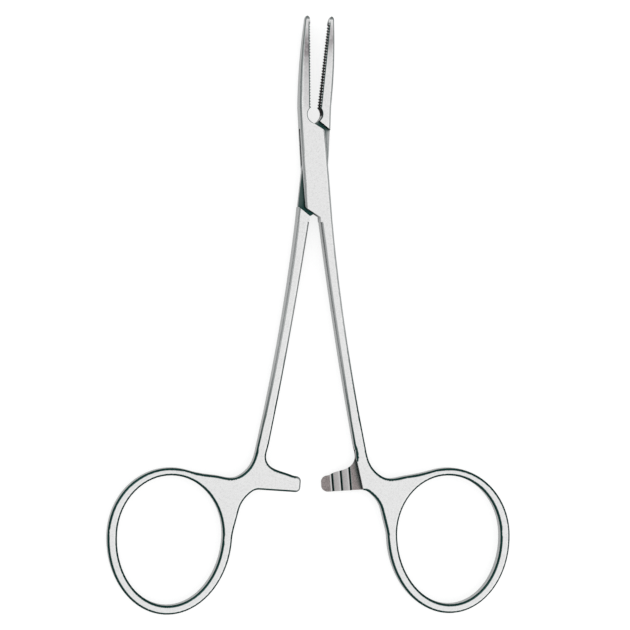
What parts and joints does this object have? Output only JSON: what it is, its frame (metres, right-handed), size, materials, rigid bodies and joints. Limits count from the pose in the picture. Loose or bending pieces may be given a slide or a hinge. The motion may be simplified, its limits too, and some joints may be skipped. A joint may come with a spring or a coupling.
{
  "type": "hemostat forceps",
  "caption": "Ring-handled locking clamp with slender straight serrated jaws, a box lock on a pivot pin, and a ratchet between the shanks above the finger rings.",
  "frame": {"origin": "on the pivot axis, at the flat back of the box lock, which the instrument lies on", "axes": "+Y from the finger rings to the jaw tips, +Z out of the surface the instrument lies on, along the pivot pin, and +X to the side of the box half's finger ring"},
  "size_m": [0.0852, 0.1253, 0.0045],
  "materials": {
    "steel_box_half": "satin",
    "steel_tongue_half": "satin",
    "steel_pin": "satin"
  },
  "bodies": {
    "box_half": {"box_half": "steel_box_half", "pivot_pin": "steel_pin"},
    "tongue_half": {"tongue_half": "steel_tongue_half"}
  },
  "joints": [
    {"name": "box_lock_hinge", "type": "hinge", "parent": "box_half", "child": "tongue_half", "pos_m": [0, 0, 0.00225], "axis": [0, 0, -1], "range_deg": [-7.2, 55]}
  ]
}
